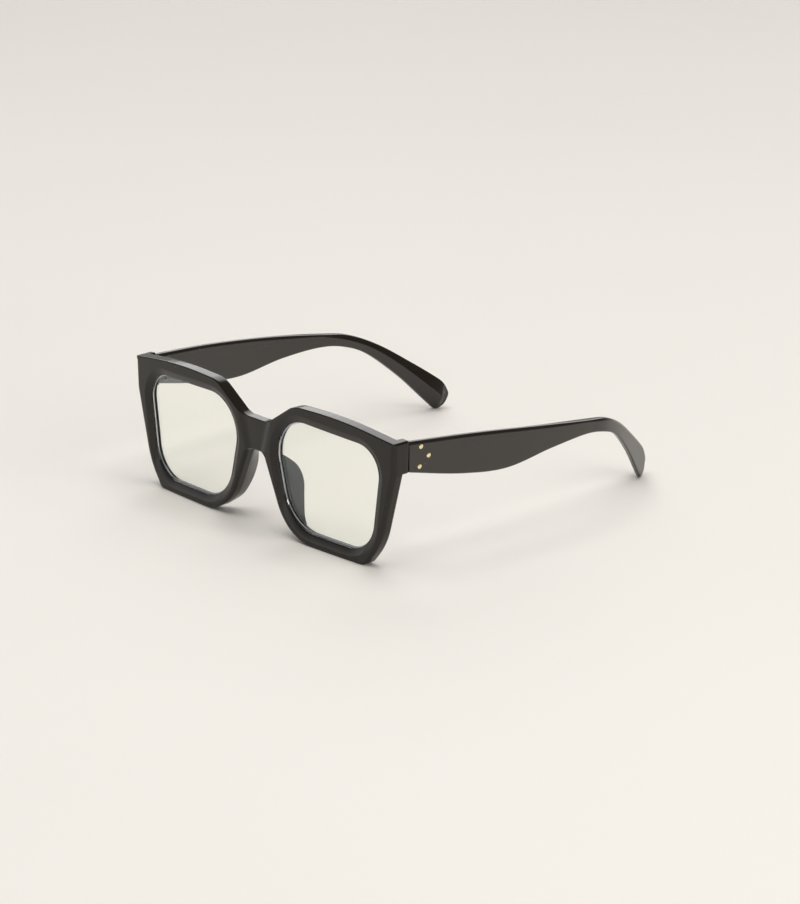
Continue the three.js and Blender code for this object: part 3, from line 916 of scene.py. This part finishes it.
# Light: a window behind and above the wearer's right, a dim room with a paler wall in front, and
# two soft lamps. ROOM_STOPS are the height of a direction and the light that comes from it.
ROOM_STOPS = [(0.0, 0.9), (0.05, 0.45), (0.18, 0.3), (0.30, 0.08), (0.56, 0.08), (1.0, 0.2)]
ROOM_BRIGHTEST = 3.0
WINDOW_DIRECTION = (-0.66, 0.60, 0.45)
WINDOW_SPREAD = (0.86, 0.96)
WINDOW_SILL = (0.155, 0.265)
WINDOW_LEVEL = 2.4
WALL_HEIGHT = (0.34, 0.12)
WALL_SPREAD = (-0.1, -0.6)
WALL_LEVEL = 0.75


def room_colours(w, height):
    room = w.add("ShaderNodeValToRGB", {"Fac": height})
    room.color_ramp.interpolation = "EASE"
    stops = room.color_ramp.elements
    while len(stops) < len(ROOM_STOPS):
        stops.new(0.5)
    for stop, (position, level) in zip(stops, ROOM_STOPS):
        share = level / ROOM_BRIGHTEST
        stop.position = position
        stop.color = rgb(share, share * 0.985, share * 0.96)
    return room


def soft_step(w, value, low, high, to_high=1.0):
    return w.add("ShaderNodeMapRange", {
        "Value": value, "From Min": low, "From Max": high, "To Max": to_high,
    }, interpolation_type="SMOOTHSTEP")


def studio_world():
    world = bpy.data.worlds.new("studio")
    world.use_nodes = True
    w = Nodes(world.node_tree)
    direction = w.add("ShaderNodeTexCoord").outputs["Generated"]
    parts = w.add("ShaderNodeSeparateXYZ", {"Vector": direction})
    height = parts.outputs[2]
    towards_window = w.add("ShaderNodeVectorMath", {0: direction, 1: WINDOW_DIRECTION},
                           operation="DOT_PRODUCT").outputs["Value"]
    window = w.math("MULTIPLY", soft_step(w, towards_window, *WINDOW_SPREAD, WINDOW_LEVEL),
                    soft_step(w, height, *WINDOW_SILL))
    wall = w.math("MULTIPLY", w.ramp(height, *WALL_HEIGHT),
                  w.ramp(parts.outputs[1], *WALL_SPREAD))
    bright = w.math("ADD", window, w.math("MULTIPLY", wall, WALL_LEVEL))
    glow = w.add("ShaderNodeBackground",
                 {"Color": room_colours(w, height), "Strength": ROOM_BRIGHTEST})
    pane = w.add("ShaderNodeBackground", {"Color": rgb(1.0, 0.99, 0.98), "Strength": bright})
    both = w.add("ShaderNodeAddShader")
    w.set(both.inputs[0], glow.outputs[0])
    w.set(both.inputs[1], pane.outputs[0])
    w.add("ShaderNodeOutputWorld", {"Surface": both})
    return world


def soft_light(name, place, size, energy, colour):
    """A round lamp aimed at the origin that lights surfaces but isn't mirrored in them."""
    light = bpy.data.lights.new(name, "AREA")
    light.shape = "DISK"
    light.size = size
    light.energy = energy
    light.color = colour
    obj = bpy.data.objects.new(name, light)
    obj.location = place
    obj.rotation_mode = "QUATERNION"
    obj.rotation_quaternion = (-Vector(place)).to_track_quat("-Z", "Y")
    obj.visible_glossy = False
    scene.collection.objects.link(obj)


scene = bpy.context.scene
scene.world = studio_world()
soft_light("overhead_softbox", (0.0, -0.15, 2.6), 2.8, 51.5, (1.0, 0.99, 0.97))
soft_light("side_softbox", (1.6, 0.35, 0.8), 1.7, 14.0, (1.0, 0.97, 0.93))

# Camera at the photograph's angle.
CAMERA_AZIMUTH = math.radians(47.372)
CAMERA_ELEVATION = math.radians(18.843)
CAMERA_DISTANCE = 1.2958
CAMERA_TARGET = Vector((0.03524, -0.0348, 0.02861))
CAMERA_LENS = 140.97

back = Vector((math.sin(CAMERA_AZIMUTH) * math.cos(CAMERA_ELEVATION),
               -math.cos(CAMERA_AZIMUTH) * math.cos(CAMERA_ELEVATION),
               math.sin(CAMERA_ELEVATION)))
camera_data = bpy.data.cameras.new("camera")
camera_data.sensor_width = 36.0
camera_data.lens = CAMERA_LENS
camera = bpy.data.objects.new("camera", camera_data)
scene.collection.objects.link(camera)
camera.location = CAMERA_TARGET + back * CAMERA_DISTANCE
camera.rotation_mode = "QUATERNION"
camera.rotation_quaternion = (-back).to_track_quat("-Z", "Y")
scene.camera = camera
scene.view_settings.view_transform = "Standard"
